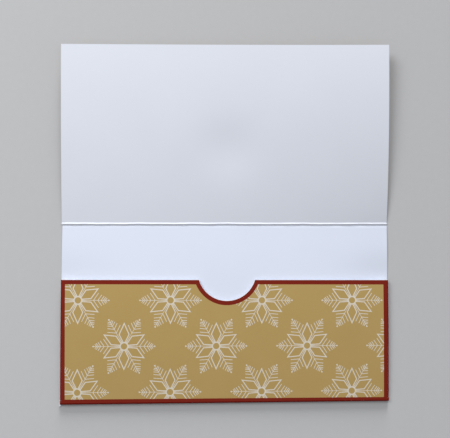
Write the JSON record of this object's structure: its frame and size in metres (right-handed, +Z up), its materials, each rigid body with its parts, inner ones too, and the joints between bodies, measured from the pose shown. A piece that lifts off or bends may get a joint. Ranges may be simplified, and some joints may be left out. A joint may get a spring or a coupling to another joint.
{
  "type": "gift card holder",
  "caption": "Folded board gift card holder, lying open: a white-lined cover hinged at a crease to a back with a printed pocket and a thumb notch.",
  "frame": {"origin": "on the table, in the middle of the open holder, which is the middle of the crease to within 1 mm", "axes": "+X runs along the crease to the right, +Y runs from the crease to the cover's free edge, +Z points up, out of the white inner faces"},
  "size_m": [0.165, 0.1798, 0.0054],
  "materials": {
    "white_board": "satin",
    "gold_print": "satin",
    "red_print": "satin",
    "dried_glue": "satin"
  },
  "bodies": {
    "back": {"crease_spine": "white_board", "back_panel": "white_board", "bottom_fold": "red_print", "pocket_panel": "gold_print", "left_side_fold": "red_print", "right_side_fold": "red_print", "left_glue_flap": "white_board", "right_glue_flap": "white_board", "left_glue_line": "dried_glue", "right_glue_line": "dried_glue"},
    "cover": {"cover_panel": "white_board"}
  },
  "joints": [
    {"name": "cover_fold", "type": "hinge", "parent": "back", "child": "cover", "pos_m": [0, 0, 0.00045], "axis": [1, 0, 0], "range_deg": [-2.4, 168.5]}
  ]
}
